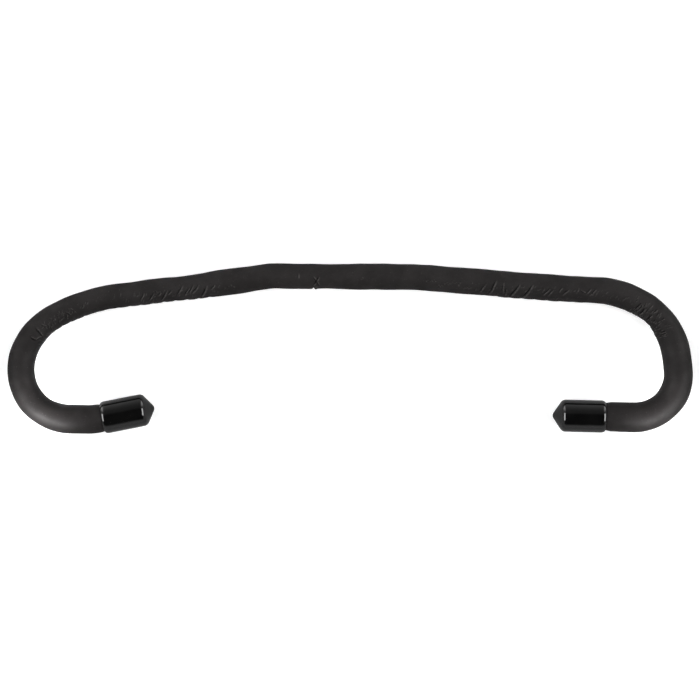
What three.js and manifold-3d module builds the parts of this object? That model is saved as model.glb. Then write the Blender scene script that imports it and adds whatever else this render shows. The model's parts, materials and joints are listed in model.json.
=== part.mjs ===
// A hand-bendable holding bar: one malleable metal rod in a foam sleeve, with a soft vinyl cap
// pushed on each end. Both ends are curled under, so that they hook round two tubes and hold
// one against the other.
//
// The bar lies flat. +X runs along it to the right, +Y from the hooks' lower arms to the span,
// and +Z up off the surface. The origin is below the middle of its box. Millimetres.

import * as THREE from 'three';
import { mergeVertices } from 'three/addons/utils/BufferGeometryUtils.js';
import Module from 'manifold-3d';

// Rod and sleeve. The foam is drawn thinner where the bar was worked straight.
const CORE_DIAMETER = 6;
const SLEEVE_DIAMETER = 16.4;
const LEFT_HOOK_THINNING = 0.8;
const SPAN_THINNING = 2;

// End caps.
const CAP_BORE = 15.9;
const CAP_WALL = 1.4;
const CAP_GRIP = 24;
const CAP_SHOULDER_RADIUS = 3.5;
const CAP_NOSE_ANGLE = 56;
const CAP_TIP_RADIUS = 2.2;

// Clearances: rod in sleeve and sleeve in cap, and ball end in its cup.
const FIT_GAP = 0.3;
const BALL_GAP = 0.6;

// The route of the rod from its left end to its right end, as a bender reads it: straight runs,
// and turns to the right in degrees on a radius. Each end run is the part in the cap and a
// little more.
const START_HEADING = -168.8;
const LEFT_ARM_SHOWING = 0;
const RIGHT_ARM_SHOWING = 17;
const ROUTE = [
  { straight: CAP_GRIP + LEFT_ARM_SHOWING },
  { turn: 12, radius: 42.5 },
  { straight: 10.5 },
  { turn: 101.5, radius: 28.5 },
  { turn: 47, radius: 36.5 },
  { turn: 23.5, radius: 99 },
  { straight: 88 },
  { turn: 7.5, radius: 48.5 },
  { straight: 74 },
  { turn: 4, radius: 90.5 },
  { straight: 106.5 },
  { turn: 14, radius: 62 },
  { turn: 60.5, radius: 42.5 },
  { turn: 7, radius: 92 },
  { turn: 95.5, radius: 25 },
  { straight: CAP_GRIP + RIGHT_ARM_SHOWING },
];

// The hooks start where the route runs square across the bar.
const LEFT_CROWN_HEADING = -270;
const RIGHT_CROWN_HEADING = -450;

// How finely round things are faceted.
const TURN_STEP = 7.5;
const SLEEVE_SIDES = 16;
const CORE_SIDES = 12;
const CAP_SIDES = 24;
const BALL_SIDES = 16;
const ARC_STEPS = 4;
const SHORTEST_STEP = 0.5;
const WELD_DISTANCE = 0.0001;

const { degToRad } = THREE.MathUtils;
const wasm = await Module();
wasm.setup();

// ---- The route ----

function runLength(run) {
  return run.straight ?? degToRad(run.turn) * run.radius;
}

const routeLength = ROUTE.reduce((total, run) => total + runLength(run), 0);

// Where the route is, and which way it heads, at a distance from its left end. The end runs
// carry straight on past both ends.
function routeAt(distance) {
  const point = new THREE.Vector3();
  let heading = degToRad(START_HEADING);
  let left = distance;
  for (const run of ROUTE) {
    const length = run === ROUTE.at(-1) ? left : Math.min(left, runLength(run));
    if (run.straight !== undefined) {
      point.x += length * Math.cos(heading);
      point.y += length * Math.sin(heading);
    } else {
      const after = heading - length / run.radius;
      point.x += run.radius * (Math.sin(heading) - Math.sin(after));
      point.y += run.radius * (Math.cos(after) - Math.cos(heading));
      heading = after;
    }
    left -= length;
  }
  return { point, heading };
}

// How far along the route a heading is reached.
function distanceAtHeading(degrees) {
  let heading = START_HEADING;
  let distance = 0;
  for (const run of ROUTE) {
    if (run.straight === undefined) {
      const turned = Math.min(run.turn, heading - degrees);
      distance += degToRad(turned) * run.radius;
      heading -= turned;
      if (heading <= degrees) {
        return distance;
      }
    } else {
      distance += run.straight;
    }
  }
  return distance;
}

// Distances to stop at between two places: the ends of every run, and steps round each turn.
function stopsBetween(from, to) {
  const stops = [];
  let start = 0;
  for (const run of ROUTE) {
    const length = runLength(run);
    const steps = run.straight === undefined ? Math.ceil(run.turn / TURN_STEP) : 1;
    for (let step = 0; step < steps; step += 1) {
      stops.push(start + (length * step) / steps);
    }
    start += length;
  }
  const inner = stops.filter(
    (stop) => stop > from + SHORTEST_STEP && stop < to - SHORTEST_STEP,
  );
  return [from, ...inner, to];
}

// A stretch of the route as a curve that is sampled exactly at its stops.
class Stretch extends THREE.Curve {
  constructor(from, to) {
    super();
    this.stops = stopsBetween(from, to);
    this.steps = this.stops.length - 1;
  }

  stopAt(u) {
    return routeAt(this.stops[Math.round(u * this.steps)]);
  }

  getPointAt(u) {
    return this.stopAt(u).point;
  }

  getTangentAt(u) {
    const { heading } = this.stopAt(u);
    return new THREE.Vector3(Math.cos(heading), Math.sin(heading), 0);
  }
}

// ---- Solids ----

// The corners of a regular polygon that stands on a flat side, with its flats at the radius.
function flatSided(radius, sides) {
  const corner = radius / Math.cos(Math.PI / sides);
  return Array.from({ length: sides }, (_, i) => {
    const angle = ((i + 0.5) * 2 * Math.PI) / sides;
    return new THREE.Vector2(corner * Math.cos(angle), corner * Math.sin(angle));
  });
}

function rodAlong(from, to, radius, sides) {
  const stretch = new Stretch(Math.min(from, to), Math.max(from, to));
  const options = { extrudePath: stretch, steps: stretch.steps, bevelEnabled: false };
  return new THREE.ExtrudeGeometry(new THREE.Shape(flatSided(radius, sides)), options);
}

function toSolid(geometry) {
  const bare = geometry.clone();
  bare.deleteAttribute('normal');
  bare.deleteAttribute('uv');
  const merged = mergeVertices(bare, WELD_DISTANCE);
  const mesh = new wasm.Mesh({
    numProp: 3,
    vertProperties: new Float32Array(merged.attributes.position.array),
    triVerts: new Uint32Array(merged.index.array),
  });
  return new wasm.Manifold(mesh);
}

function toGeometry(solid) {
  const mesh = solid.getMesh();
  const geometry = new THREE.BufferGeometry();
  geometry.setAttribute('position', new THREE.BufferAttribute(mesh.vertProperties, 3));
  geometry.setIndex(new THREE.BufferAttribute(mesh.triVerts, 1));
  geometry.computeVertexNormals();
  return geometry;
}

function ballAt(distance, radius) {
  const { point } = routeAt(distance);
  const ball = new THREE.SphereGeometry(radius, BALL_SIDES, BALL_SIDES / 2);
  return toSolid(ball.translate(point.x, point.y, point.z));
}

// ---- Pieces ----

const coreRadius = CORE_DIAMETER / 2;
const boreRadius = coreRadius + FIT_GAP;
const neckRadius = CAP_BORE / 2 - FIT_GAP;
const leftCrown = distanceAtHeading(LEFT_CROWN_HEADING);
const rightCrown = distanceAtHeading(RIGHT_CROWN_HEADING);


// The hole for the rod runs past both ends of the sleeve, so that it cuts cleanly through.
const boreSolid = toSolid(
  rodAlong(-CORE_DIAMETER, routeLength + CORE_DIAMETER, boreRadius, CORE_SIDES),
);

function makeCoreRod() {
  return rodAlong(FIT_GAP, routeLength - FIT_GAP, coreRadius, CORE_SIDES);
}

// The sleeve of one hook, from its end of the bar to its crown: a neck that the cap grips, the
// arm behind it, and a ball end at the crown.
function makeHookSleeve(diameter, end, crown) {
  const inward = Math.sign(crown - end);
  const shoulder = end + inward * (CAP_GRIP + FIT_GAP);
  const neck = toSolid(rodAlong(end, shoulder + inward * FIT_GAP, neckRadius, CAP_SIDES));
  const arm = toSolid(rodAlong(shoulder, crown, diameter / 2, SLEEVE_SIDES));
  const whole = neck.add(arm).add(ballAt(crown, diameter / 2));
  return toGeometry(whole.subtract(boreSolid));
}

// The sleeve of the span, from crown to crown, with a cup at each end for the hook's ball.
function makeSpanSleeve(leftBall, rightBall) {
  const radius = (SLEEVE_DIAMETER - SPAN_THINNING) / 2;
  const tube = toSolid(rodAlong(leftCrown, rightCrown, radius, SLEEVE_SIDES));
  const cupped = tube
    .subtract(ballAt(leftCrown, leftBall / 2 + BALL_GAP))
    .subtract(ballAt(rightCrown, rightBall / 2 + BALL_GAP));
  return toGeometry(cupped.subtract(boreSolid));
}

// Points round part of a circle, from one angle to another, in degrees.
function arc(centreX, centreY, radius, from, to) {
  return Array.from({ length: ARC_STEPS + 1 }, (_, i) => {
    const angle = degToRad(from + ((to - from) * i) / ARC_STEPS);
    return [centreX + radius * Math.cos(angle), centreY + radius * Math.sin(angle)];
  });
}

// A dip-moulded cap, turned about +Y from its mouth near y = 0 to the drip at its tip.
function makeCap() {
  const boreEdge = CAP_BORE / 2;
  const outerRadius = boreEdge + CAP_WALL;
  const nose = degToRad(CAP_NOSE_ANGLE);
  const floor = CAP_GRIP + FIT_GAP;
  const slopeStart = floor + CAP_WALL;
  const shoulder = slopeStart - CAP_SHOULDER_RADIUS * Math.sin(nose);
  const shoulderCentre = outerRadius - CAP_SHOULDER_RADIUS;
  const slopeRadius = shoulderCentre + CAP_SHOULDER_RADIUS * Math.cos(nose);
  const slopeEnd = CAP_TIP_RADIUS * Math.cos(nose);
  const slopeRise = (slopeRadius - slopeEnd) / Math.tan(nose);
  const tipCentre = slopeStart + slopeRise - CAP_TIP_RADIUS * Math.sin(nose);
  const hollowRadius = boreEdge - CAP_WALL / 2;
  const lip = CAP_WALL / 2;

  const profile = [
    [0, floor + hollowRadius / Math.tan(nose)],
    [hollowRadius, floor],
    [boreEdge, floor],
    ...arc(boreEdge + lip, lip, lip, 180, 360),
    ...arc(shoulderCentre, shoulder, CAP_SHOULDER_RADIUS, 0, CAP_NOSE_ANGLE),
    ...arc(0, tipCentre, CAP_TIP_RADIUS, CAP_NOSE_ANGLE, 90),
  ];
  profile[profile.length - 1][0] = 0;

  const flatToCorner = 1 / Math.cos(Math.PI / CAP_SIDES);
  const points = profile.map(([radius, y]) => new THREE.Vector2(radius * flatToCorner, y));
  return new THREE.LatheGeometry(points, CAP_SIDES, Math.PI / CAP_SIDES);
}

// ---- Assembly ----

const foam = { color: 0x2c2c2e, roughness: 0.7, metalness: 0 };
const vinyl = { color: 0x0b0b0c, roughness: 0.16, metalness: 0 };
const aluminium = { color: 0xc4c6c8, roughness: 0.4, metalness: 1 };

const group = new THREE.Group();

function addPiece(name, geometry, finish) {
  const piece = new THREE.Mesh(geometry, new THREE.MeshStandardMaterial(finish));
  piece.name = name;
  group.add(piece);
  return piece;
}

// A cap sits with its mouth a grip's length in from its end of the route, and points outwards.
function addCap(name, end, crown) {
  const inward = Math.sign(crown - end);
  const { point, heading } = routeAt(end + inward * CAP_GRIP);
  const outward = inward > 0 ? heading + Math.PI : heading;
  const cap = addPiece(name, makeCap(), vinyl);
  cap.position.copy(point);
  cap.rotation.z = outward - Math.PI / 2;
}

const leftHook = SLEEVE_DIAMETER - LEFT_HOOK_THINNING;
const rightHook = SLEEVE_DIAMETER;

addPiece('core_rod', makeCoreRod(), aluminium);
addPiece('foam_sleeve_span', makeSpanSleeve(leftHook, rightHook), foam);
addPiece('foam_sleeve_left_hook', makeHookSleeve(leftHook, 0, leftCrown), foam);
addPiece('foam_sleeve_right_hook', makeHookSleeve(rightHook, routeLength, rightCrown), foam);
addCap('end_cap_left', 0, leftCrown);
addCap('end_cap_right', routeLength, rightCrown);

// The origin goes below the middle of the bar's box.
const box = new THREE.Box3().setFromObject(group, true);
const middle = box.getCenter(new THREE.Vector3());
group.position.set(-middle.x, -middle.y, -box.min.z);

export default group;
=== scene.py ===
# %% [markdown]
# # A hand-bendable holding bar, lesson by lesson
#
# The object is a length of soft aluminium rod in a foam sleeve, with a glossy vinyl cap pushed
# on each end. Both ends are curled under into hooks. It is used to hold a bicycle's front wheel
# against the frame. This script starts from the mechanical model, which says where each piece
# is and how the hooks and caps move, and makes the finished surfaces around it.
#
# Everything is in metres, +X along the bar, +Y from the lower arms to the span, +Z up.

# %% Load the mechanical model
import json
import math

import bmesh
import bpy
import numpy as np
from mathutils import Matrix, Vector


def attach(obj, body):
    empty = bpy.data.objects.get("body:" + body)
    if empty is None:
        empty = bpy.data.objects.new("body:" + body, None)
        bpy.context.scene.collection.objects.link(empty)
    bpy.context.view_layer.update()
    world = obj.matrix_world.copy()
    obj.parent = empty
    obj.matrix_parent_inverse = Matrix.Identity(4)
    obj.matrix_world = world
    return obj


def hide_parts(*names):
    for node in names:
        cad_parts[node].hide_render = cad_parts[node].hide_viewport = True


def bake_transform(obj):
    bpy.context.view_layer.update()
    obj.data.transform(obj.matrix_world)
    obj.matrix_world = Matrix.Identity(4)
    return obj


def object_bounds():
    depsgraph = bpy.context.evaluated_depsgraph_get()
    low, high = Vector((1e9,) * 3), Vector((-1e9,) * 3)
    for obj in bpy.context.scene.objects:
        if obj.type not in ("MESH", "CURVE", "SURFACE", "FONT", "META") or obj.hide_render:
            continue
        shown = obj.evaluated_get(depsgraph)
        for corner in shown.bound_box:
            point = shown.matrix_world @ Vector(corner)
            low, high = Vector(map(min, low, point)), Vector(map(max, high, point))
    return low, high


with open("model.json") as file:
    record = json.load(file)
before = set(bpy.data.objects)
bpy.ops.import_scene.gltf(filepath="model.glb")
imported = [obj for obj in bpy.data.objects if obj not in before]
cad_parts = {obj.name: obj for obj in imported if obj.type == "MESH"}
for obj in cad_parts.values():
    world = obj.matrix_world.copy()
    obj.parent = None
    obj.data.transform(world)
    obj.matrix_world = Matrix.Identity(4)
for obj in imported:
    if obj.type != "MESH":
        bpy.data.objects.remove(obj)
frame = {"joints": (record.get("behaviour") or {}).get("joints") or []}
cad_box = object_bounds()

joints = {joint["name"]: joint for joint in frame["joints"]}
centre = (cad_box[0] + cad_box[1]) / 2
print("CAD box", [round(v, 4) for v in (*cad_box[0], *cad_box[1])])

# %% [markdown]
# ## The camera
#
# The bar lies flat and is seen from straight above, so its outline shows without
# foreshortening. A long lens from a good metre away keeps both hooks the same size.

# %% Camera
VIEW_WIDTH = 0.4053
VIEW_CENTRE = (0.0, -0.0008)
CAMERA_HEIGHT = 1.10
SENSOR = 36.0

bar_height = (cad_box[0].z + cad_box[1].z) / 2
camera_data = bpy.data.cameras.new("camera")
camera_data.sensor_width = SENSOR
camera_data.lens = SENSOR * CAMERA_HEIGHT / VIEW_WIDTH
camera = bpy.data.objects.new("camera", camera_data)
camera.location = (*VIEW_CENTRE, bar_height + CAMERA_HEIGHT)
bpy.context.collection.objects.link(camera)
bpy.context.scene.camera = camera
print("lens", round(camera_data.lens, 1), "mm")

# %% [markdown]
# ## The studio
#
# Black rubber shows little of its own colour: what the eye reads is what it reflects. So the
# studio is built as things to reflect. A soft box hangs on each side, and they do nearly all
# the lighting. The rest of the room is dim, with two brighter windows low behind the bar, and it
# is darkest over the near side. The glossy caps show the dark part as a black band along them,
# the room behind as a grey one, and the soft boxes as thin glints on their rounded edges.
#
# These could be area lamps and black boards, but boards would be in the way of other views, and
# lamps this close would light the floor unevenly. The room's own light can be bright and dark
# by direction, as if all of it were far away, and still look plain white to the camera.
#
# A direction in the room is named by its parts across, away and up, each from -1 to 1. A swing
# is its angle from straight up towards the near side, and a tilt is its angle to either side.

# %% Room light
ROOM_OVERHEAD = 0.14
ROOM_HORIZON = 0.55
ROOM_DARK = 0.03
SOFT_BOX = 7.5
BOX_TILT = (math.radians(31), math.radians(55))
BOX_DEPTH = (-0.46, 0.32)
BOX_EDGES = (math.radians(2), 0.06)
DARK_SWING = (math.radians(-17), math.radians(66))
DARK_SIDES = math.radians(33)
DARK_EDGES = (math.radians(8), 0.08)
BACK_WINDOWS = 3.0
WINDOWS_AWAY = (0.40, 0.80)
WINDOWS_ASIDE = (0.30, 0.60)
WINDOWS_UP = (-0.02, 0.06)
ROOM_TOP = 0.95


def new_node(tree, kind, **inputs):
    """Add a node, and set inputs by name with underscores for spaces."""
    node = tree.nodes.new(kind)
    for name, value in inputs.items():
        node.inputs[name.replace("_", " ")].default_value = value
    return node


def math_node(tree, operation, first, second=None):
    """A Math node whose inputs are sockets or numbers; returns its output."""
    node = tree.nodes.new("ShaderNodeMath")
    node.operation = operation
    for socket, value in zip(node.inputs, (first, second)):
        if value is None:
            continue
        if isinstance(value, (int, float)):
            socket.default_value = value
        else:
            tree.links.new(value, socket)
    return node.outputs[0]


def ramp(tree, value, low, high):
    """A smooth step from 0 at low to 1 at high."""
    node = tree.nodes.new("ShaderNodeMapRange")
    node.interpolation_type = "SMOOTHSTEP"
    tree.links.new(value, node.inputs["Value"])
    node.inputs["From Min"].default_value = low
    node.inputs["From Max"].default_value = high
    return node.outputs["Result"]


def window(tree, value, low, high, edge):
    """A mask that is 1 between low and high and fades over an edge."""
    rise = ramp(tree, value, low - edge, low + edge)
    fall = ramp(tree, value, high + edge, high - edge)
    return math_node(tree, "MULTIPLY", rise, fall)


def mix_numbers(tree, factor, first, second):
    """A number that goes from first to second, each a number or a socket."""
    mix = tree.nodes.new("ShaderNodeMix")
    tree.links.new(factor, mix.inputs["Factor"])
    for socket, value in zip((mix.inputs["A"], mix.inputs["B"]), (first, second)):
        if isinstance(value, (int, float)):
            socket.default_value = value
        else:
            tree.links.new(value, socket)
    return mix.outputs["Result"]


world = bpy.data.worlds.new("studio")
bpy.context.scene.world = world
world.use_nodes = True
room = world.node_tree
room.nodes.clear()
direction = room.nodes.new("ShaderNodeTexCoord")
axes = room.nodes.new("ShaderNodeSeparateXYZ")
room.links.new(direction.outputs["Generated"], axes.inputs[0])
across, away, up = axes.outputs

brightness = mix_numbers(room, ramp(room, up, 0.0, ROOM_TOP), ROOM_HORIZON, ROOM_OVERHEAD)
swing = math_node(room, "ARCTAN2", math_node(room, "MULTIPLY", away, -1.0), up)
from_middle = math_node(room, "ABSOLUTE", across)
dark_span = window(room, swing, *DARK_SWING, DARK_EDGES[0])
dark_limit = math.sin(DARK_SIDES)
dark_sides = ramp(room, from_middle, dark_limit + DARK_EDGES[1], dark_limit - DARK_EDGES[1])
dark = math_node(room, "MULTIPLY", dark_span, dark_sides)
brightness = mix_numbers(room, dark, brightness, ROOM_DARK)
aside = ramp(room, from_middle, *WINDOWS_ASIDE)
back = math_node(room, "MULTIPLY", ramp(room, away, *WINDOWS_AWAY), aside)
back = math_node(room, "MULTIPLY", back, ramp(room, up, *WINDOWS_UP))
brightness = mix_numbers(room, back, brightness, BACK_WINDOWS)
box_tilt = window(room, math_node(room, "ARCTAN2", from_middle, up), *BOX_TILT, BOX_EDGES[0])
box_depth = window(room, away, *BOX_DEPTH, BOX_EDGES[1])
brightness = mix_numbers(room, math_node(room, "MULTIPLY", box_tilt, box_depth), brightness, SOFT_BOX)

lit = room.nodes.new("ShaderNodeBackground")
room.links.new(brightness, lit.inputs["Strength"])
seen = new_node(room, "ShaderNodeBackground", Strength=1.0)
for background in (lit, seen):
    background.inputs["Color"].default_value = (1, 1, 1, 1)
path = room.nodes.new("ShaderNodeLightPath")
choose = room.nodes.new("ShaderNodeMixShader")
output = room.nodes.new("ShaderNodeOutputWorld")
room.links.new(path.outputs["Is Camera Ray"], choose.inputs[0])
room.links.new(lit.outputs[0], choose.inputs[1])
room.links.new(seen.outputs[0], choose.inputs[2])
room.links.new(choose.outputs[0], output.inputs["Surface"])

print("studio:", len(room.nodes), "nodes light the room by direction")

# %% [markdown]
# ### Two small lamps
#
# The outside of each hook's lower bend has a soft sheen of its own, which no far light can give
# without giving it to the whole bar. A small lamp with a narrow beam, aimed at each bend, does
# it. The lamps cast no shadows, as a lamp with a big diffuser close to it hardly does.

# %% Lamps
# (name, side, power in watts, where on the bar it is aimed)
LAMP_SPREAD = math.radians(7)
LAMP_SIZE = 0.03
LAMP_PLACE = Vector((0.28, -0.26, 0.24))
LAMPS = (
    ("left_lamp", -1, 0.013, (-0.176, -0.033)),
    ("right_lamp", 1, 0.0075, (0.177, -0.034)),
)


def aim(obj, target):
    """Turn a lamp so that its light, which leaves along -Z, goes to the target."""
    way = Vector(target) - obj.location
    obj.rotation_euler = way.to_track_quat("-Z", "Y").to_euler()


for lamp_name, side, power, target in LAMPS:
    lamp_data = bpy.data.lights.new(lamp_name, "AREA")
    lamp_data.shape = "DISK"
    lamp_data.size = LAMP_SIZE
    lamp_data.energy = power
    lamp_data.spread = LAMP_SPREAD
    lamp_data.use_shadow = False
    lamp = bpy.data.objects.new(lamp_name, lamp_data)
    lamp.location = (side * LAMP_PLACE.x, LAMP_PLACE.y, LAMP_PLACE.z)
    bpy.context.collection.objects.link(lamp)
    aim(lamp, (*target, bar_height))
    lamp.visible_camera = False

print("lamps", [lamp_row[0] for lamp_row in LAMPS])

scene = bpy.context.scene
scene.view_settings.view_transform = "Standard"
scene.view_settings.look = "None"

# %% [markdown]
# ## The floor
#
# A plain white sweep. It is far larger than the bar, so that low views see no edge. It is dimmer
# in reflections than to the eye, as through the polarising filter that is used on black gloss.

# %% Selection helpers
def deselect_all():
    for other in bpy.context.selected_objects:
        other.select_set(False)


def select_only(obj):
    deselect_all()
    bpy.context.view_layer.objects.active = obj
    obj.select_set(True)


# %% Floor
FLOOR_REACH = 6.0
FLOOR_WHITE = 0.92
FLOOR_REFLECTED = 0.30
FLOOR_LIFT = 0.30
PAPER_ROUGHNESS = 0.9
PAPER_SPECULAR = 0.1

deselect_all()
bpy.ops.mesh.primitive_plane_add(size=FLOOR_REACH, location=(centre.x, centre.y, cad_box[0].z))
floor = bpy.context.object
floor.name = "floor"
bpy.ops.object.transform_apply(location=True, rotation=True, scale=True)
paper = bpy.data.materials.new("floor_paper")
paper.use_nodes = True
paper_tree = paper.node_tree
paper_shader = paper_tree.nodes["Principled BSDF"]
paper_shader.inputs["Roughness"].default_value = PAPER_ROUGHNESS
paper_shader.inputs["Specular IOR Level"].default_value = PAPER_SPECULAR
paper_path = paper_tree.nodes.new("ShaderNodeLightPath")
in_gloss = paper_path.outputs["Is Glossy Ray"]
paper_white = mix_numbers(paper_tree, in_gloss, FLOOR_WHITE, FLOOR_REFLECTED)
paper_tree.links.new(paper_white, paper_shader.inputs["Base Color"])
paper_glow = mix_numbers(paper_tree, paper_path.outputs["Is Camera Ray"], 0.0, FLOOR_LIFT)
paper_shader.inputs["Emission Color"].default_value = (1, 1, 1, 1)
paper_tree.links.new(paper_glow, paper_shader.inputs["Emission Strength"])
floor.data.materials.append(paper)
print("floor", FLOOR_REACH, "m square")

# %% [markdown]
# ## The route of the rod
#
# The whole bar follows one line. A bender works from a table of straight runs and turns, so the
# line is kept as that table, the same one as in the mechanical model. Its numbers are a fit to
# the real bar's middle line, rounded to half a millimetre and half a degree. Walking the table
# gives the place and the heading at any distance along the bar. The hinge of the left hook is on
# the line where it runs straight across, and that ties the walk to the frame.

# %% Bend table
# A straight run has a length, and a turn has degrees to the right and a radius.
CAP_GRIP = 0.024
RIGHT_ARM_SHOWING = 0.017
HEADING_SEARCH = 20001
START_HEADING = math.radians(-168.8)
ROUTE = [
    ("straight", CAP_GRIP),
    ("turn", 12, 0.0425),
    ("straight", 0.0105),
    ("turn", 101.5, 0.0285),
    ("turn", 47, 0.0365),
    ("turn", 23.5, 0.099),
    ("straight", 0.088),
    ("turn", 7.5, 0.0485),
    ("straight", 0.074),
    ("turn", 4, 0.0905),
    ("straight", 0.1065),
    ("turn", 14, 0.062),
    ("turn", 60.5, 0.0425),
    ("turn", 7, 0.092),
    ("turn", 95.5, 0.025),
    ("straight", CAP_GRIP + RIGHT_ARM_SHOWING),
]


def run_length(run):
    """How much of the bar one row of the table takes up."""
    return run[1] if run[0] == "straight" else math.radians(run[1]) * run[2]


bar_length = sum(run_length(run) for run in ROUTE)


def walk(distances):
    """The places (before the shift into the frame) and headings at some distances."""
    left = np.asarray(distances, float).copy()
    x, y = np.zeros_like(left), np.zeros_like(left)
    heading = np.full_like(left, START_HEADING)
    for run in ROUTE:
        step = np.clip(left, 0, run_length(run))
        if run[0] == "straight":
            x += step * np.cos(heading)
            y += step * np.sin(heading)
        else:
            after = heading - step / run[2]
            x += run[2] * (np.sin(heading) - np.sin(after))
            y += run[2] * (np.cos(after) - np.cos(heading))
            heading = after
        left = left - step
    return x, y, heading


def distance_at_heading(degrees):
    """How far along the bar its heading has turned to this."""
    grid = np.linspace(0, bar_length, HEADING_SEARCH)
    return float(np.interp(-math.radians(degrees), -walk(grid)[2], grid))


left_crown = distance_at_heading(-270)
right_crown = distance_at_heading(-450)
left_pivot = Vector(joints["left_hook_bend"]["pos_m"])
right_pivot = Vector(joints["right_hook_bend"]["pos_m"])
x, y, _ = walk([left_crown, right_crown])
shift = Vector((left_pivot.x - x[0], left_pivot.y - y[0], left_pivot.z))
miss = Vector((x[1] + shift.x, y[1] + shift.y, shift.z)) - right_pivot
print("bar length", round(bar_length, 4), "m")
print("right crown misses its hinge by", round(miss.length * 1000, 4), "mm")

# %% [markdown]
# ## The foam sleeve
#
# The sleeve is an extruded foam tube with a smooth, slightly waxy skin. Where the rod inside has
# been bent and straightened, the skin has buckled into short slanting creases, and it stays
# that way. A displacement texture could draw creases, but it can't follow a curved bar and
# knows nothing of where hands have bent it. So the tube is made row by row: each ring of points
# stands square to the route, and each point is pushed in or out by its girth and its creases.
#
# It is one tube on the real bar. Each hook swings on its own hinge and a piece can bend across
# only one, so it is made as two halves that meet at the deep crossed crease in mid-span.
#
# A point on the skin is named by how far along the bar it is, in millimetres, and by its angle
# in degrees round the tube, from straight up (0) to the inner side of the bar (90).

# %% Sleeve sizes
MM = 0.001
SLEEVE_JOIN = 280.0
BORE_RADIUS = 3.1
ROUND_POINTS = 116
COARSE_ROW = 0.75
FINE_ROW = 0.30
BORE_ROW = 4.0
FINE_STRETCHES = [(104, 150), (162, 224), (266, 290), (372, 498)]
CAP_BORE = 15.9
NECK_GAP = 0.04
NECK = CAP_BORE - NECK_GAP
EDGE_ROUNDING = 0.5
end_of_bar = bar_length / MM
left_mouth = CAP_GRIP / MM
right_mouth = end_of_bar - CAP_GRIP / MM

# (distance, girth) along the bar: the foam is stretched thin on the span and thick by the caps.
GIRTH = [
    (left_mouth, NECK), (left_mouth + 3, 16.45), (left_mouth + 9, 16.85), (47, 16.65), (61, 16.05),
    (83, 15.7), (102, 15.4), (120, 14.5), (148, 14.2), (166, 14), (186, 14.4), (206, 14.25),
    (228, 15.2), (260, 15), (288, 14.3), (310, 15.2), (333, 15), (414, 15.4), (436, 15.1),
    (455, 15.7), (478, 15.2), (498, 16.55), (540, 17.05), (right_mouth - 10, 17.45),
    (right_mouth - 4, 17.05), (right_mouth, NECK),
]


def girth_at(distance):
    """The tube's girth as a diameter, eased between the stops in the table."""
    stops, sizes = np.array(GIRTH).T
    at = np.searchsorted(stops, distance, side="right") - 1
    at = np.clip(at, 0, len(stops) - 2)
    part = np.clip((distance - stops[at]) / (stops[at + 1] - stops[at]), 0, 1)
    part = part * part * (3 - 2 * part)
    return sizes[at] + (sizes[at + 1] - sizes[at]) * part


print("girth at the crowns", girth_at(np.array([left_crown, right_crown]) / MM).round(2), "mm")

# %% [markdown]
# ### Creases
#
# Each crease is a short valley with a raised lip beside it, as when a fold of skin is pushed over.
# The deep ones are placed one by one, where they are seen on the real sleeve, and those places
# were worked out as distances and angles beforehand. The crowds of fine ones come from clusters:
# a stretch of the bar, how many, how they lean and how deep they are, scattered with a fixed
# seed so that the sleeve is the same each time.

# %% Crease tables
# (from distance, from angle, to distance, to angle, depth, half width), mm and degrees
DEEP_CREASES = [
    (114.1, -4, 113.0, 48, 0.55, 0.36), (107.9, 5, 108.5, 34, 0.50, 0.34),
    (108.5, 32, 113.2, 50, 0.45, 0.32), (180.5, 2, 177.5, 46, 0.34, 0.30),
    (186.1, 8, 182.5, 50, 0.38, 0.30), (190.1, 10, 188.3, 28, 0.30, 0.28),
    (193.9, 3, 189.5, 58, 0.40, 0.32), (196.7, 5, 194.0, 27, 0.32, 0.28),
    (203.0, -11, 198.8, 43, 0.42, 0.32), (207.0, 4, 203.1, 43, 0.36, 0.30),
    (209.7, -6, 205.3, 35, 0.40, 0.30), (212.6, -4, 207.9, 38, 0.38, 0.30),
    (217.0, 3, 212.2, 72, 0.44, 0.34), (221.5, 6, 219.0, 27, 0.30, 0.28),
    (269.9, -10, 269.9, 14, 0.26, 0.30), (282.1, 2, 278.3, 52, 0.46, 0.32),
    (278.3, 4, 282.3, 50, 0.46, 0.32), (279.3, 50, 278.7, 118, 0.55, 0.55),
    (377.8, 10, 374.8, 53, 0.36, 0.30), (384.1, -11, 380.0, 60, 0.55, 0.36),
    (388.0, 3, 387.8, 41, 0.32, 0.30), (390.3, 19, 389.4, 66, 0.30, 0.28),
    (397.4, -3, 391.9, 75, 0.60, 0.38), (405.3, -6, 399.2, 74, 0.58, 0.36),
    (411.5, 8, 410.6, 29, 0.28, 0.26), (415.0, 6, 411.2, 43, 0.34, 0.28),
    (417.1, 10, 413.8, 44, 0.32, 0.28), (421.9, -3, 420.3, 22, 0.30, 0.28),
    (426.0, 3, 422.5, 34, 0.32, 0.28), (431.5, -5, 430.5, 15, 0.26, 0.26),
    (432.5, 7, 436.6, 24, 0.28, 0.26), (438.3, -5, 435.8, 25, 0.32, 0.28),
    (441.9, -7, 437.8, 28, 0.32, 0.28), (472.9, 14, 472.1, 66, 0.62, 0.40),
    (478.4, 20, 478.8, 62, 0.58, 0.40), (469.2, 6, 467.9, 44, 0.48, 0.34),
]

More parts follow.
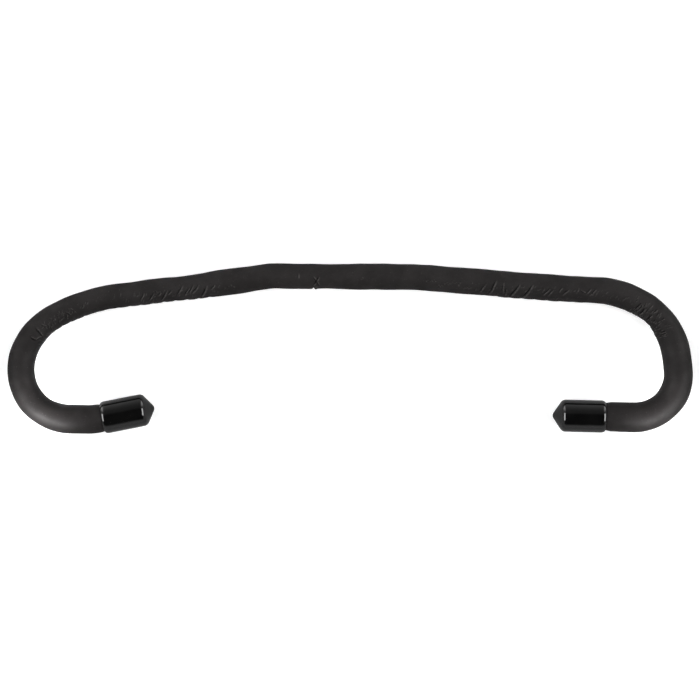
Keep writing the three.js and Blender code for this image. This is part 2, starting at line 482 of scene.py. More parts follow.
# (from, to, how many, lowest angle, highest angle, length, lean, spread of lean, depth)
CREASE_CLUSTERS = [
    (117, 139, 36, -2, 38, 2.2, -20, 60, 0.22),
    (141, 148, 7, -6, 28, 2.0, -30, 30, 0.18),
    (162, 178, 6, -6, 40, 3.0, -12, 14, 0.14),
    (176, 224, 40, 0, 66, 2.0, -34, 18, 0.18),
    (226, 233, 4, 12, 30, 2.0, -30, 20, 0.14),
    (284, 342, 7, -10, 50, 2.4, -25, 25, 0.10),
    (343, 373, 18, 4, 42, 2.6, -32, 22, 0.18),
    (374, 445, 60, -4, 66, 2.0, -34, 20, 0.18),
    (445, 466, 14, 4, 30, 2.2, -20, 30, 0.16),
    (464, 494, 64, -8, 80, 3.2, -4, 16, 0.30),
    (104, 122, 8, 20, 80, 3.0, -6, 18, 0.24),
]

# Where the skin is pressed together on the inner side, its edge is scalloped.
# (from, to, spacing, depth)
SCALLOPS = [(110, 148, 5.0, 0.30), (148, 224, 6.6, 0.34), (374, 444, 7.5, 0.24), (460, 498, 5.2, 0.30)]

CREASE_SEED = 7
print(len(DEEP_CREASES), "deep creases,", sum(c[2] for c in CREASE_CLUSTERS), "fine ones")

# %% Scatter the fine creases
PLACE_JITTER = (0.1, 0.9)
LENGTH_JITTER = (0.55, 1.25)
DEPTH_JITTER = (0.5, 1.2)
LEAST_WIDTH = 0.20
WIDTH_PER_DEPTH = 0.2

dice = np.random.default_rng(CREASE_SEED)


def scatter(cluster):
    """Fine creases in one cluster, in the same form as the deep ones."""
    start, stop, count, low, high, length, lean, spread, depth = cluster
    places = start + (np.arange(count) + dice.uniform(*PLACE_JITTER, count)) * (stop - start) / count
    creases = []
    for place in places:
        angle = dice.uniform(low, high)
        slant = math.radians(lean + dice.uniform(-spread, spread))
        reach = length * dice.uniform(*LENGTH_JITTER) / 2
        radius = girth_at(np.array([place]))[0] / 2
        along = reach * math.sin(slant)
        swing = math.degrees(reach * math.cos(slant) / radius)
        size = depth * dice.uniform(*DEPTH_JITTER)
        width = LEAST_WIDTH + WIDTH_PER_DEPTH * size
        creases.append((place - along, angle - swing, place + along, angle + swing, size, width))
    return creases


fine_creases = [crease for cluster in CREASE_CLUSTERS for crease in scatter(cluster)]
all_creases = DEEP_CREASES + fine_creases

# %% Press the creases into the skin
CREASE_DEPTH = 1.45
CREASE_MARGIN = 3
LIP_SHARE = 0.5
LIP_OFFSET = 2.0
LIP_WIDTH = 1.15
WOBBLE = 0.16
FINE_WOBBLE = 0.6
END_FADE = 3.0
FULL_DEPTH = 0.45


def press_crease(crease, bow, phase, distance, angle, radius, masks):
    """Push one crease's valley and lip into the skin, and mark them in the two masks."""
    from_s, from_a, to_s, to_a, depth, width = crease
    push, valley, lip = masks
    depth *= CREASE_DEPTH
    first = np.searchsorted(distance, min(from_s, to_s) - CREASE_MARGIN)
    last = np.searchsorted(distance, max(from_s, to_s) + CREASE_MARGIN)
    if first >= last:
        return
    rows = slice(first, last)
    size = radius[rows].mean()
    u = distance[rows, None]
    v = np.radians(angle[None, :]) * size
    low = np.array([from_s, math.radians(from_a) * size])
    way = np.array([to_s, math.radians(to_a) * size]) - low
    length = math.hypot(*way)
    way /= length
    along = ((u - low[0]) * way[0] + (v - low[1]) * way[1]) / length
    aside = (u - low[0]) * way[1] - (v - low[1]) * way[0]
    aside = aside + WOBBLE * (bow * np.cos(3 * along) + np.sin(7 * along + phase) * FINE_WOBBLE)
    fade = np.clip(1 - np.abs(2 * along - 1) ** END_FADE, 0, 1)
    hollow = np.exp(-((aside / width) ** 2)) * fade
    ridge = np.exp(-(((aside - LIP_OFFSET * width) / (LIP_WIDTH * width)) ** 2)) * fade
    push[rows] -= depth * (hollow - LIP_SHARE * ridge)
    valley[rows] = np.maximum(valley[rows], hollow * min(1, depth / FULL_DEPTH))
    lip[rows] = np.maximum(lip[rows], ridge * min(1, depth / FULL_DEPTH))


# %% Scallop the inner edge
SCALLOP_SIDE = 92
SCALLOP_SPREAD = 34
SCALLOP_EASE = 6
SCALLOP_SHARPNESS = 2.5
SCALLOP_SHADE = 0.25


def press_scallops(distance, angle, push, valley):
    """A row of shallow scoops along the inner side, in each stretch of the table."""
    for start, stop, spacing, depth in SCALLOPS:
        rising = np.clip((distance - start) / SCALLOP_EASE, 0, 1)
        inside = rising * np.clip((stop - distance) / SCALLOP_EASE, 0, 1)
        wave = 0.5 - 0.5 * np.cos(2 * math.pi * (distance - start) / spacing)
        wave = wave ** SCALLOP_SHARPNESS * (0.65 + 0.35 * np.sin(distance * 0.9))
        around = np.exp(-(((angle - SCALLOP_SIDE) / SCALLOP_SPREAD) ** 2))
        push -= depth * (inside * wave)[:, None] * around[None, :]
        valley += SCALLOP_SHADE * (inside * wave)[:, None] * around[None, :]


def press_creases(distance, angle, radius):
    """How far each skin point is pushed in, and how strongly it is a valley and a lip."""
    push = np.zeros((len(distance), len(angle)))
    valley = np.zeros_like(push)
    lip = np.zeros_like(push)
    bows = np.random.default_rng(CREASE_SEED + 1)
    for crease in all_creases:
        bow = bows.uniform(-1, 1)
        phase = bows.uniform(0, 6)
        press_crease(crease, bow, phase, distance, angle, radius, (push, valley, lip))
    press_scallops(distance, angle, push, valley)
    return push, np.clip(valley, 0, 1), np.clip(lip, 0, 1)


# %% Slow unevenness of hand-bent foam
# (size, length along the bar, turns round it)
SWELLS = ((0.10, 62, 0), (0.07, 31, 1), (0.06, 23, 2), (0.045, 14, 2), (0.03, 8.5, 3))

# Where the foam bulges or is pulled in by a kink of the rod: (distance, angle, reach, height).
LUMPS = (
    (206, -90, 13, -0.45), (212, 90, 14, 0.40), (252, 90, 11, -0.50), (404, 90, 20, 0.30),
    (402, -90, 18, -0.35), (446, 90, 8, -0.40), (448, -90, 7, 0.40), (468, 90, 6, 0.60),
    (466, -90, 6, -0.40), (484, 90, 6, -0.45),
)
CALM_BY_CAPS = 8


def unevenness(distance, angle):
    """Slow swells in the skin, with a fixed seed, and the lumps in the table."""
    waves = np.random.default_rng(CREASE_SEED + 2)
    total = np.zeros((len(distance), len(angle)))
    turn = np.radians(angle)[None, :]
    for size, length, turns in SWELLS:
        phase = waves.uniform(0, 2 * math.pi, 2)
        wave = np.sin(2 * math.pi * distance / length + phase[0])[:, None]
        total += size * wave * np.cos(turns * turn + phase[1])
    for place, around, reach, height in LUMPS:
        along = np.exp(-(((distance - place) / reach) ** 2))
        facing = np.clip(np.cos(turn - math.radians(around)), 0, 1)
        total += height * along[:, None] * facing
    calm = np.clip((distance - left_mouth) / CALM_BY_CAPS, 0, 1)
    calm *= np.clip((right_mouth - distance) / CALM_BY_CAPS, 0, 1)
    return total * calm[:, None]


# %% [markdown]
# ### Rings of points
#
# Rows are close together where there are creases and further apart where the skin is plain,
# and points are closer on the upper inner side than underneath. The outside, the cut end, the
# bore and the other cut end are one run of rings that joins up with itself, so the half is a
# closed skin with no hole to fill.

# %% Ring spacing
GRID_STEP = 0.05
FINE_ROW_EASE = 4
CROWDED_ANGLE = 32
CROWDED_SPREAD = 52
CROWDING = 1.3
TENTHS_ROUND = 3600


def spaced_rows(start, stop):
    """Distances of the rings along the bar, close together in the creased stretches."""
    grid = np.arange(start, stop + GRID_STEP / 2, GRID_STEP)
    step = np.full_like(grid, COARSE_ROW)
    for low, high in FINE_STRETCHES:
        near = np.clip(np.minimum(grid - low, high - grid) / FINE_ROW_EASE + 1, 0, 1)
        step = np.minimum(step, COARSE_ROW + (FINE_ROW - COARSE_ROW) * near)
    count = np.concatenate([[0], np.cumsum(np.diff(grid) / step[1:])])
    return np.interp(np.linspace(0, count[-1], int(count[-1]) + 1), count, grid)


def spaced_angles():
    """Angles of the points round a ring, closer together on the upper inner side."""
    grid = np.linspace(-180, 180, TENTHS_ROUND + 1)
    density = 1 + CROWDING * np.exp(-(((grid - CROWDED_ANGLE) / CROWDED_SPREAD) ** 2))
    count = np.concatenate([[0], np.cumsum(density[1:])])
    return np.interp(np.arange(ROUND_POINTS) / ROUND_POINTS * count[-1], count, grid)


def ring_points(distance, angle, radius):
    """Points in the frame, in metres, for rows of skin radii in millimetres."""
    x, y, heading = walk(distance * MM)
    outward = np.stack([np.sin(heading), -np.cos(heading), np.zeros_like(heading)], 1)
    middle = np.stack([x + shift.x, y + shift.y, np.full_like(x, shift.z)], 1)
    turn = np.radians(angle)
    side = outward[:, None, :] * np.sin(turn)[None, :, None]
    top = np.array([0, 0, 1.0])[None, None, :] * np.cos(turn)[None, :, None]
    return middle[:, None, :] + (side + top) * radius[:, :, None] * MM


# %% Make a sleeve half
def make_sleeve_half(name, start, stop):
    """One half of the sleeve between two distances, as rings joined into a closed skin."""
    distance = spaced_rows(start, stop)
    angle = spaced_angles()
    radius = girth_at(distance) / 2
    push, valley, lip = press_creases(distance, angle, radius)
    skin = radius[:, None] + push + unevenness(distance, angle)
    free_end = np.minimum(distance, end_of_bar - distance)
    rounding = np.clip(1 - free_end / EDGE_ROUNDING, 0, 1)
    skin -= (EDGE_ROUNDING * (1 - np.sqrt(1 - rounding ** 2)))[:, None]
    outside = ring_points(distance, angle, skin)
    bore_at = np.linspace(stop, start, int((stop - start) / BORE_ROW) + 1)
    bore = ring_points(bore_at, angle, np.full((len(bore_at), ROUND_POINTS), BORE_RADIUS))

    rings = np.concatenate([outside, bore])
    ring_count = len(rings)
    index = np.arange(ring_count * ROUND_POINTS).reshape(ring_count, ROUND_POINTS)
    ahead = np.roll(index, -1, axis=0)
    faces = np.stack(
        [index, np.roll(index, -1, axis=1), np.roll(ahead, -1, axis=1), ahead], axis=-1
    ).reshape(-1, 4)
    mesh = bpy.data.meshes.new(name)
    mesh.from_pydata(rings.reshape(-1, 3).tolist(), [], faces.tolist())
    # The valley mask drives painted shade in the foam's colour, and the lip mask a painted sheen.
    for label, mask in (("crease", valley), ("lip_sheen", lip)):
        values = np.zeros((ring_count, ROUND_POINTS))
        values[: len(outside)] = mask
        mesh.attributes.new(label, "FLOAT", "POINT").data.foreach_set("value", values.ravel())
    half = bpy.data.objects.new(name, mesh)
    half["skin_rows"] = len(outside) - 1
    bpy.context.collection.objects.link(half)
    clean_and_smooth(half)
    print(name, len(distance), "rows,", 2 * len(faces), "triangles")
    return half


def clean_and_smooth(obj, sharp=65):
    """Turn all faces outwards and shade smooth, with creases sharper than an angle kept."""
    select_only(obj)
    tidy = bmesh.new()
    tidy.from_mesh(obj.data)
    bmesh.ops.recalc_face_normals(tidy, faces=tidy.faces)
    if tidy.calc_volume(signed=True) < 0:
        bmesh.ops.reverse_faces(tidy, faces=tidy.faces)
    tidy.to_mesh(obj.data)
    tidy.free()
    bpy.ops.object.shade_smooth_by_angle(angle=math.radians(sharp))


left_sleeve = make_sleeve_half("foam_sleeve_left_half", 0, SLEEVE_JOIN)
right_sleeve = make_sleeve_half("foam_sleeve_right_half", SLEEVE_JOIN, end_of_bar)

# %% [markdown]
# ## The aluminium rod
#
# The rod is soft round aluminium, sawn off and lightly deburred at each end. It is hidden in the
# sleeve, but it is what holds every bend. It is bent the way a bender works: a ring
# is pulled along each straight run, and swung about the centre of each turn.
#
# The rod is also made as two halves, so that each can bend with its own hook.

# %% Bend a rod half
ROD_RADIUS = 0.003
ROD_SIDES = 24
ROD_TURN_STEP = math.radians(6)
ROD_CHAMFER = 0.0005
ROD_WELD = 1e-6
SHORTEST_RUN = 1e-6


def runs_between(start, stop):
    """The straight runs and turns of the route between two distances, in metres."""
    at = 0.0
    pieces = []
    for run in ROUTE:
        low, high = max(at, start), min(at + run_length(run), stop)
        if high - low > SHORTEST_RUN:
            pieces.append((run[0], low, high, run[2] if run[0] == "turn" else None))
        at += run_length(run)
    return pieces


def place_at(distance):
    """Where the bar's axis is at one distance along it, and the way it heads there."""
    x, y, heading = walk([distance])
    return Vector((x[0] + shift.x, y[0] + shift.y, shift.z)), float(heading[0])


def bend_rod_half(name, start, stop):
    """One half of the rod: a ring drawn along the straight runs and spun round the turns."""
    place, heading = place_at(start)
    deselect_all()
    square = Matrix.Rotation(heading, 4, "Z") @ Matrix.Rotation(math.pi / 2, 4, "Y")
    bpy.ops.mesh.primitive_circle_add(
        vertices=ROD_SIDES, radius=ROD_RADIUS, location=place, rotation=square.to_euler()
    )
    rod = bpy.context.object
    rod.name = name
    bpy.ops.object.transform_apply(location=True, rotation=True, scale=True)
    bpy.ops.object.mode_set(mode="EDIT")
    bpy.ops.mesh.select_mode(type="VERT")
    bpy.ops.mesh.select_all(action="SELECT")
    for kind, low, high, radius in runs_between(start, stop):
        here, heading = place_at(low)
        if kind == "straight":
            there, _ = place_at(high)
            bpy.ops.mesh.extrude_region_move(TRANSFORM_OT_translate={"value": there - here})
        else:
            turn = (high - low) / radius
            inward = Vector((math.sin(heading), -math.cos(heading), 0))
            bpy.ops.mesh.spin(
                steps=max(1, round(turn / ROD_TURN_STEP)),
                angle=turn,
                center=here + inward * radius,
                axis=(0, 0, 1),
            )
    bpy.ops.mesh.select_all(action="SELECT")
    bpy.ops.mesh.remove_doubles(threshold=ROD_WELD)
    bpy.ops.mesh.select_all(action="DESELECT")
    bpy.ops.mesh.select_non_manifold()
    bpy.ops.mesh.fill_holes(sides=0)
    bpy.ops.mesh.select_all(action="DESELECT")
    bpy.ops.object.mode_set(mode="OBJECT")
    for face in rod.data.polygons:
        face.select = len(face.vertices) == ROD_SIDES
    bpy.ops.object.mode_set(mode="EDIT")
    bpy.ops.mesh.select_mode(type="FACE")
    bpy.ops.mesh.bevel(offset=ROD_CHAMFER, segments=2, affect="EDGES")
    bpy.ops.mesh.select_all(action="SELECT")
    bpy.ops.mesh.normals_make_consistent(inside=False)
    bpy.ops.object.mode_set(mode="OBJECT")
    clean_and_smooth(rod, sharp=40)
    end, _ = place_at(stop)
    ring = [v.co for v in rod.data.vertices if (v.co - end).length < ROD_RADIUS * 1.1]
    print(name, len(rod.data.polygons), "faces; points near its far end:", len(ring))
    return rod


rod_join = SLEEVE_JOIN * MM
left_rod = bend_rod_half("core_rod_left_half", 0, rod_join)
right_rod = bend_rod_half("core_rod_right_half", rod_join, bar_length)

# %% [markdown]
# ## The vinyl caps
#
# A cap is made by dipping a pointed steel former in liquid vinyl: it comes out as a thin glossy
# shell with a soft bead round its mouth, a long rounded shoulder and a blunt cone. It is
# round, so it is turned: the wall's section is drawn as a row of points and spun once about the
# axis. Mouth at zero, tip along +Z. Then it is turned to its place, and its place is applied.

# %% Cap sizes
CAP_OUTSIDE = 9.35
CAP_WALL = 1.4
CAP_FLOOR = 24.3
NOSE_ANGLE = 56
CAP_NOSE = math.radians(NOSE_ANGLE)
SHOULDER_RADIUS = 3.5
TIP_RADIUS = 3.0
HOLLOW_RADIUS = 1.0
HOLLOW_INSET = (0.3, 0.5)
LIP_INSIDE = 0.3
LIP_REACH = 2.4
BORE_RINGS = (0.75, 0.5, 0.25)
SKIRT_RINGS = (0.1, 0.4, 0.7, 0.95)
CAP_STEPS = 96
CAP_WELD = 2e-6


def arc(centre_r, centre_z, radius, start, stop, steps):
    """Points of a circular arc in the cap's section, in millimetres."""
    for i in range(steps + 1):
        turn = math.radians(start + (stop - start) * i / steps)
        yield centre_r + radius * math.cos(turn), centre_z + radius * math.sin(turn)


def cap_section():
    """The wall's section from the inside of the nose, out round the mouth, to the tip."""
    bore = CAP_OUTSIDE - CAP_WALL
    slope_start = CAP_FLOOR + CAP_WALL
    shoulder = slope_start - SHOULDER_RADIUS * math.sin(CAP_NOSE)
    shoulder_r = CAP_OUTSIDE - SHOULDER_RADIUS
    slope_r = shoulder_r + SHOULDER_RADIUS * math.cos(CAP_NOSE)
    slope_rise = (slope_r - TIP_RADIUS * math.cos(CAP_NOSE)) / math.tan(CAP_NOSE)
    tip = slope_start + slope_rise - TIP_RADIUS * math.sin(CAP_NOSE)
    hollow_r = bore - CAP_WALL / 2
    points = [(0, CAP_FLOOR + hollow_r / math.tan(CAP_NOSE))]
    turn_r, turn_z = hollow_r - HOLLOW_INSET[0], CAP_FLOOR - HOLLOW_INSET[1]
    points += arc(turn_r, turn_z, HOLLOW_RADIUS, NOSE_ANGLE, 0, 5)
    points += [(bore, CAP_FLOOR * part) for part in BORE_RINGS]
    points += arc(bore + LIP_INSIDE, LIP_INSIDE, LIP_INSIDE, 180, 270, 4)
    lip_r = bore + LIP_INSIDE
    for r, z in arc(0, 1, 1, 270, 360, 12):
        points.append((lip_r + (CAP_OUTSIDE - lip_r) * r, LIP_REACH * z))
    skirt = shoulder - LIP_REACH
    points += [(CAP_OUTSIDE, LIP_REACH + skirt * part) for part in SKIRT_RINGS]
    points += arc(shoulder_r, shoulder, SHOULDER_RADIUS, 0, NOSE_ANGLE, 12)
    points += arc(0, tip, TIP_RADIUS, NOSE_ANGLE, 90, 6)
    points[-1] = (0, points[-1][1])
    return [Vector((r * MM, 0, z * MM)) for r, z in points]


# %% Turn a cap
def turn_cap(name, mouth, heading):
    """A cap spun from its section, with its mouth at a place and its tip pointing a way."""
    section = cap_section()
    deselect_all()
    bpy.ops.mesh.primitive_plane_add(size=0.001, location=section[0])
    cap = bpy.context.object
    cap.name = name
    bpy.ops.object.transform_apply(location=True, rotation=True, scale=True)
    bpy.ops.object.mode_set(mode="EDIT")
    bpy.ops.mesh.select_mode(type="VERT")
    bpy.ops.mesh.merge(type="CENTER")
    for here, there in zip(section, section[1:]):
        bpy.ops.mesh.extrude_vertices_move(TRANSFORM_OT_translate={"value": there - here})
    bpy.ops.mesh.select_all(action="SELECT")
    bpy.ops.mesh.spin(steps=CAP_STEPS, angle=2 * math.pi, center=(0, 0, 0), axis=(0, 0, 1))
    bpy.ops.mesh.select_all(action="SELECT")
    bpy.ops.mesh.remove_doubles(threshold=CAP_WELD)
    bpy.ops.mesh.normals_make_consistent(inside=False)
    bpy.ops.object.mode_set(mode="OBJECT")
    square = Matrix.Rotation(heading, 4, "Z") @ Matrix.Rotation(math.pi / 2, 4, "Y")
    cap.rotation_euler = square.to_euler()
    cap.location = mouth
    bpy.ops.object.transform_apply(location=True, rotation=True, scale=True)
    clean_and_smooth(cap, sharp=50)
    low = Vector(np.min([v.co for v in cap.data.vertices], axis=0))
    high = Vector(np.max([v.co for v in cap.data.vertices], axis=0))
    print(name, "faces", len(cap.data.polygons))
    print("from", [round(v / MM, 2) for v in low], "to", [round(v / MM, 2) for v in high])
    return cap


left_mouth_place, left_heading = place_at(CAP_GRIP)
right_mouth_place, right_heading = place_at(bar_length - CAP_GRIP)
left_cap = turn_cap("vinyl_cap_left", left_mouth_place, left_heading + math.pi)
right_cap = turn_cap("vinyl_cap_right", right_mouth_place, right_heading)

# %% [markdown]
# ## Shared surface effects
#
# Three effects are used by more than one finish, so each is a node group: a fine grain with
# pores, slow patches of lighter and darker material, and the flecks that handling leaves, into
# which the foam also feeds a painted sheen along its crease lips.
# Each takes the surface coordinates and a size, so one group can be leather-coarse on foam and
# almost smooth on vinyl.

# %% Node group helper
def make_group(name, inputs, outputs):
    """An empty shader node group with named sockets; returns it with its two end nodes."""
    group = bpy.data.node_groups.new(name, "ShaderNodeTree")
    for label, kind, value in inputs:
        socket = group.interface.new_socket(name=label, in_out="INPUT", socket_type=kind)
        if value is not None:
            socket.default_value = value
    for label in outputs:
        group.interface.new_socket(name=label, in_out="OUTPUT", socket_type="NodeSocketFloat")
    return group, group.nodes.new("NodeGroupInput"), group.nodes.new("NodeGroupOutput")


def noise(tree, place, scale, detail=3.0, roughness=0.55):
    """A noise texture on some coordinates; scale is a number or a socket, per metre."""
    texture = tree.nodes.new("ShaderNodeTexNoise")
    texture.inputs["Detail"].default_value = detail
    texture.inputs["Roughness"].default_value = roughness
    if isinstance(scale, (int, float)):
        texture.inputs["Scale"].default_value = scale
    else:
        tree.links.new(scale, texture.inputs["Scale"])
    tree.links.new(place, texture.inputs["Vector"])
    return texture.outputs["Fac"]


def blend_colours(tree, factor, first, second):
    """A colour mix whose colours are tuples or sockets."""
    mix = tree.nodes.new("ShaderNodeMix")
    mix.data_type = "RGBA"
    tree.links.new(factor, mix.inputs["Factor"])
    colour_sockets = [socket for socket in mix.inputs if socket.type == "RGBA"]
    for socket, colour in zip(colour_sockets, (first, second)):
        if isinstance(colour, tuple):
            socket.default_value = (*colour, 1)
        else:
            tree.links.new(colour, socket)
    return next(socket for socket in mix.outputs if socket.type == "RGBA")


# %% Fine grain
grain_group, ends_in, ends_out = make_group(
    "fine_grain",
    [("Coordinates", "NodeSocketVector", None), ("Grains per metre", "NodeSocketFloat", 1500.0)],
    ["Height", "Pores"],
)
grain_scale = ends_in.outputs["Grains per metre"]
surface = ends_in.outputs["Coordinates"]
grain = noise(grain_group, surface, grain_scale, detail=4.0, roughness=0.6)
cells = grain_group.nodes.new("ShaderNodeTexVoronoi")
grain_group.links.new(surface, cells.inputs["Vector"])
grain_group.links.new(math_node(grain_group, "MULTIPLY", grain_scale, 0.55), cells.inputs["Scale"])
pores = ramp(grain_group, cells.outputs["Distance"], 0.30, 0.10)
pores = math_node(grain_group, "MULTIPLY", pores, ramp(grain_group, grain, 0.45, 0.62))
lowered = math_node(grain_group, "MULTIPLY", pores, -0.6)
grain_group.links.new(math_node(grain_group, "ADD", grain, lowered), ends_out.inputs["Height"])
grain_group.links.new(pores, ends_out.inputs["Pores"])

# %% Slow patches
patch_group, ends_in, ends_out = make_group(
    "slow_patches",
    [("Coordinates", "NodeSocketVector", None), ("Patches per metre", "NodeSocketFloat", 60.0)],
    ["Patches"],
)
patches = noise(patch_group, ends_in.outputs["Coordinates"], ends_in.outputs["Patches per metre"])
patch_group.links.new(ramp(patch_group, patches, 0.34, 0.66), ends_out.inputs["Patches"])

# %% Flecks and painted sheen
fleck_sheen_group, ends_in, ends_out = make_group(
    "flecks_and_painted_highlight",
    [
        ("Coordinates", "NodeSocketVector", None),
        ("Flecks per metre", "NodeSocketFloat", 900.0),
        ("Rubbed", "NodeSocketFloat", 0.0),
    ],
    ["Flecks"],
)
surface = ends_in.outputs["Coordinates"]
broken = noise(fleck_sheen_group, surface, ends_in.outputs["Flecks per metre"], detail=2.0)
# Sparse specks are real flecks. The third input, broken up by the noise, paints a highlight: the foam
# feeds it its crease-lip mask, and vinyl and metal feed it nothing.
sparse = ramp(fleck_sheen_group, broken, 0.66, 0.74)
sheen_breakup = ramp(fleck_sheen_group, broken, 0.28, 0.60)
sheen_on_lips = math_node(fleck_sheen_group, "MULTIPLY", ends_in.outputs["Rubbed"], sheen_breakup)
specks = math_node(fleck_sheen_group, "MULTIPLY", sparse, 0.35)
flecks_and_sheen = math_node(fleck_sheen_group, "MAXIMUM", specks, sheen_on_lips)
fleck_sheen_group.links.new(flecks_and_sheen, ends_out.inputs["Flecks"])
print("node groups", [group.name for group in bpy.data.node_groups])

# %% Material helper
def start_material(name, roughness, specular, base=(0.02, 0.02, 0.02), metallic=0.0):
    """A material with its shader's plain values set, and its surface coordinates."""
    material = bpy.data.materials.new(name)
    material.use_nodes = True
    tree = material.node_tree
    shader = tree.nodes["Principled BSDF"]
    shader.inputs["Base Color"].default_value = (*base, 1)
    shader.inputs["Roughness"].default_value = roughness
    shader.inputs["Specular IOR Level"].default_value = specular
    shader.inputs["Metallic"].default_value = metallic
    surface = tree.nodes.new("ShaderNodeTexCoord").outputs["Object"]
    return material, tree, shader, surface


def place_group(tree, group, surface, **values):
    """Put a shared effect in a material, with its own values or links."""
    node = tree.nodes.new("ShaderNodeGroup")
    node.node_tree = group
    tree.links.new(surface, node.inputs["Coordinates"])
    for name, value in values.items():
        socket = node.inputs[name.replace("_", " ")]
        if isinstance(value, (int, float)):
            socket.default_value = value
        else:
            tree.links.new(value, socket)
    return node.outputs


def scaled(tree, value, low, high):
    """A 0 to 1 mask as a number between low and high."""
    node = tree.nodes.new("ShaderNodeMapRange")
    tree.links.new(value, node.inputs["Value"])
    node.inputs["To Min"].default_value = low
    node.inputs["To Max"].default_value = high
    return node.outputs["Result"]


def add_bump(tree, shader, height, depth, strength=1.0, under=None):
    """Bump of a real depth in metres, stacked on another bump if one is given."""
    bump = new_node(tree, "ShaderNodeBump", Strength=strength, Distance=depth)
    tree.links.new(height, bump.inputs["Height"])
    if under is not None:
        tree.links.new(under, bump.inputs["Normal"])
    tree.links.new(bump.outputs["Normal"], shader.inputs["Normal"])
    return bump.outputs["Normal"]


def skin_mask(tree, name):
    """One of the masks that the sleeve's mesh carries, for use in its finish."""
    attribute = tree.nodes.new("ShaderNodeAttribute")
    attribute.attribute_name = name
    return attribute.outputs["Fac"]


# %% [markdown]
# ## The foam skin
#
# Closed-cell foam has a dull skin that shines only a little, so its specular is low and its
# roughness high. The colour is a charcoal that wanders slowly, with paler flecks. It is painted
# near black in the pores and in the valleys of the creases, as painted shade, and paler along
# the lips of the creases, as a painted sheen broken up by noise. The crease masks come from the
# mesh itself, so the painted shade and sheen always agree with the shape.

# %% Foam finish
FOAM_DARK = (0.0114, 0.0102, 0.0101)
FOAM_LIGHT = (0.0161, 0.0145, 0.0144)
# Near black, painted as shade in the crease valleys, the scallops and the pores.
FOAM_PAINTED_SHADE = (0.0008, 0.0008, 0.0008)
# Paler, for real flecks and for a painted sheen along the crease lips.
FOAM_FLECK_AND_SHEEN = (0.11, 0.104, 0.10)
FOAM_ROUGHNESS = (0.66, 0.52)
WAVER_DEPTH = 0.00010
GRAIN_DEPTH = 0.00005

foam, tree, shader, surface = start_material("foam_skin", roughness=0.62, specular=0.13)
grain = place_group(tree, grain_group, surface, Grains_per_metre=1500.0)
patches = place_group(tree, patch_group, surface, Patches_per_metre=70.0)
creased = skin_mask(tree, "crease")
# The crease-lip mask goes in as a painted sheen.
flecks_and_sheen = place_group(tree, fleck_sheen_group, surface, Flecks_per_metre=1300.0, Rubbed=skin_mask(tree, "lip_sheen"))
colour = blend_colours(tree, patches["Patches"], FOAM_DARK, FOAM_LIGHT)
# Paler in flecks, and along the crease lips as painted sheen.
colour = blend_colours(tree, scaled(tree, flecks_and_sheen["Flecks"], 0, 0.55), colour, FOAM_FLECK_AND_SHEEN)
# Near black in crease valleys, scallops and pores, as painted shade.
shaded = math_node(tree, "MAXIMUM", creased, math_node(tree, "MULTIPLY", grain["Pores"], 0.5))
colour = blend_colours(tree, shaded, colour, FOAM_PAINTED_SHADE)
tree.links.new(colour, shader.inputs["Base Color"])
gloss = math_node(tree, "SUBTRACT", patches["Patches"], creased)
tree.links.new(scaled(tree, gloss, *FOAM_ROUGHNESS), shader.inputs["Roughness"])
coarse = noise(tree, surface, 420.0, detail=2.0)
under = add_bump(tree, shader, coarse, WAVER_DEPTH, strength=0.6)
add_bump(tree, shader, grain["Height"], GRAIN_DEPTH, strength=0.8, under=under)

# %% Cut foam finish
CUT_DARK = (0.016, 0.016, 0.017)
CUT_LIGHT = (0.026, 0.026, 0.027)
CUT_DEPTH = 0.00015

cut_foam, tree, shader, surface = start_material("cut_foam", roughness=0.9, specular=0.1)
grain = place_group(tree, grain_group, surface, Grains_per_metre=2600.0)
patches = place_group(tree, patch_group, surface, Patches_per_metre=200.0)
colour = blend_colours(tree, patches["Patches"], CUT_DARK, CUT_LIGHT)
# The pores of the cut end are painted near black, as shade.
tree.links.new(blend_colours(tree, grain["Pores"], colour, FOAM_PAINTED_SHADE), shader.inputs["Base Color"])
add_bump(tree, shader, grain["Height"], CUT_DEPTH)

# %% [markdown]
# ## The vinyl
#
# Dipped vinyl is glossy, because its outer face cured in air, untouched. It isn't perfectly
# even: it sags a little while it cures, which makes reflections waver, and handling leaves faint
# smears and specks of dust that only change how sharp the reflection is.

# %% Vinyl finish
VINYL_DARK = (0.0012, 0.0012, 0.0013)
VINYL_LIGHT = (0.0022, 0.0022, 0.0022)
DUST = (0.03, 0.03, 0.03)
VINYL_ROUGHNESS = (0.05, 0.16)
SAG_DEPTH = 0.00018

vinyl, tree, shader, surface = start_material("cap_vinyl", roughness=0.08, specular=0.68)
patches = place_group(tree, patch_group, surface, Patches_per_metre=110.0)
flecks_and_sheen = place_group(tree, fleck_sheen_group, surface, Flecks_per_metre=1600.0, Rubbed=0.0)
colour = blend_colours(tree, patches["Patches"], VINYL_DARK, VINYL_LIGHT)
colour = blend_colours(tree, scaled(tree, flecks_and_sheen["Flecks"], 0, 0.3), colour, DUST)
tree.links.new(colour, shader.inputs["Base Color"])
smears = math_node(tree, "MULTIPLY", patches["Patches"], 0.5)
smears = math_node(tree, "ADD", smears, flecks_and_sheen["Flecks"])
tree.links.new(scaled(tree, smears, *VINYL_ROUGHNESS), shader.inputs["Roughness"])
sag = noise(tree, surface, 130.0, detail=1.0)
add_bump(tree, shader, sag, SAG_DEPTH, strength=0.5)

# %% Aluminium finish
METAL_BASE = (0.78, 0.78, 0.79)
METAL_DULL = (0.70, 0.70, 0.71)
METAL_BRIGHT = (0.82, 0.82, 0.83)
METAL_STAIN = (0.30, 0.30, 0.31)
METAL_ROUGHNESS = (0.28, 0.46)
METAL_DEPTH = 0.00003

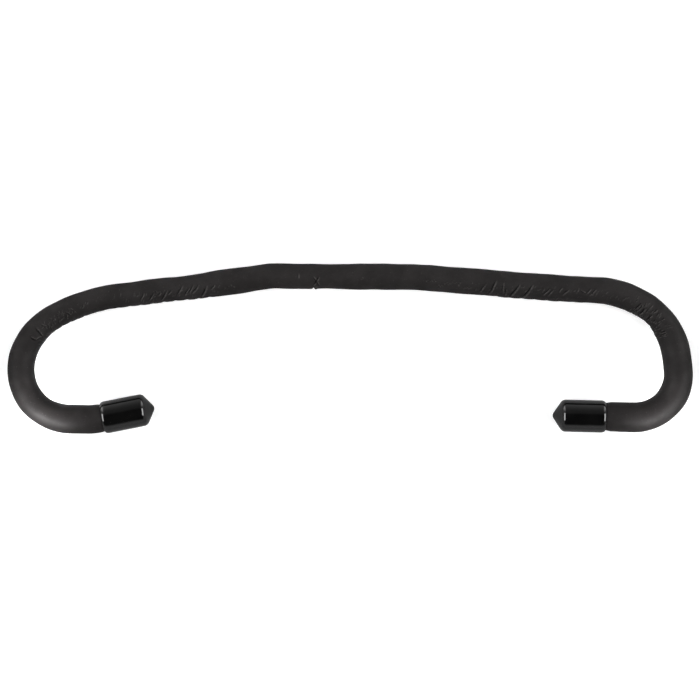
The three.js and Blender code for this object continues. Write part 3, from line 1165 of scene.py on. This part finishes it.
metal, tree, shader, surface = start_material(
    "bent_aluminium", roughness=0.35, specular=0.5, base=METAL_BASE, metallic=1.0
)
grain = place_group(tree, grain_group, surface, Grains_per_metre=2400.0)
patches = place_group(tree, patch_group, surface, Patches_per_metre=160.0)
flecks_and_sheen = place_group(tree, fleck_sheen_group, surface, Flecks_per_metre=1800.0, Rubbed=0.0)
colour = blend_colours(tree, patches["Patches"], METAL_DULL, METAL_BRIGHT)
colour = blend_colours(tree, scaled(tree, flecks_and_sheen["Flecks"], 0, 0.8), colour, METAL_STAIN)
tree.links.new(colour, shader.inputs["Base Color"])
tree.links.new(scaled(tree, grain["Height"], *METAL_ROUGHNESS), shader.inputs["Roughness"])
add_bump(tree, shader, grain["Height"], METAL_DEPTH)

# %% Give each piece its finish
for half in (left_sleeve, right_sleeve):
    half.data.materials.append(foam)
    half.data.materials.append(cut_foam)
    skin_faces = half["skin_rows"] * ROUND_POINTS
    chosen = np.zeros(len(half.data.polygons), dtype=np.int32)
    chosen[skin_faces:] = 1
    half.data.polygons.foreach_set("material_index", chosen)
for piece in (left_cap, right_cap):
    piece.data.materials.append(vinyl)
for piece in (left_rod, right_rod):
    piece.data.materials.append(metal)

# %% [markdown]
# ## What moves
#
# Each sleeve half and rod half keeps the place it was made in, with its transform baked in. The
# caps slide with their own bodies. The mechanical model's own pieces are hidden in their place.

for half, side, pivot, hook in (
    (left_sleeve, 1, left_pivot, "left_hook"),
    (left_rod, 1, left_pivot, "left_hook"),
    (right_sleeve, -1, right_pivot, "right_hook"),
    (right_rod, -1, right_pivot, "right_hook"),
):
    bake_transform(half)

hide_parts("foam_sleeve_left_hook", "foam_sleeve_span")
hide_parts("foam_sleeve_right_hook", "foam_sleeve_span")
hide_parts("core_rod")
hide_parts("core_rod")
for cap, body, node in ((left_cap, "left_cap", "end_cap_left"), (right_cap, "right_cap", "end_cap_right")):
    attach(cap, body)
    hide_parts(node)
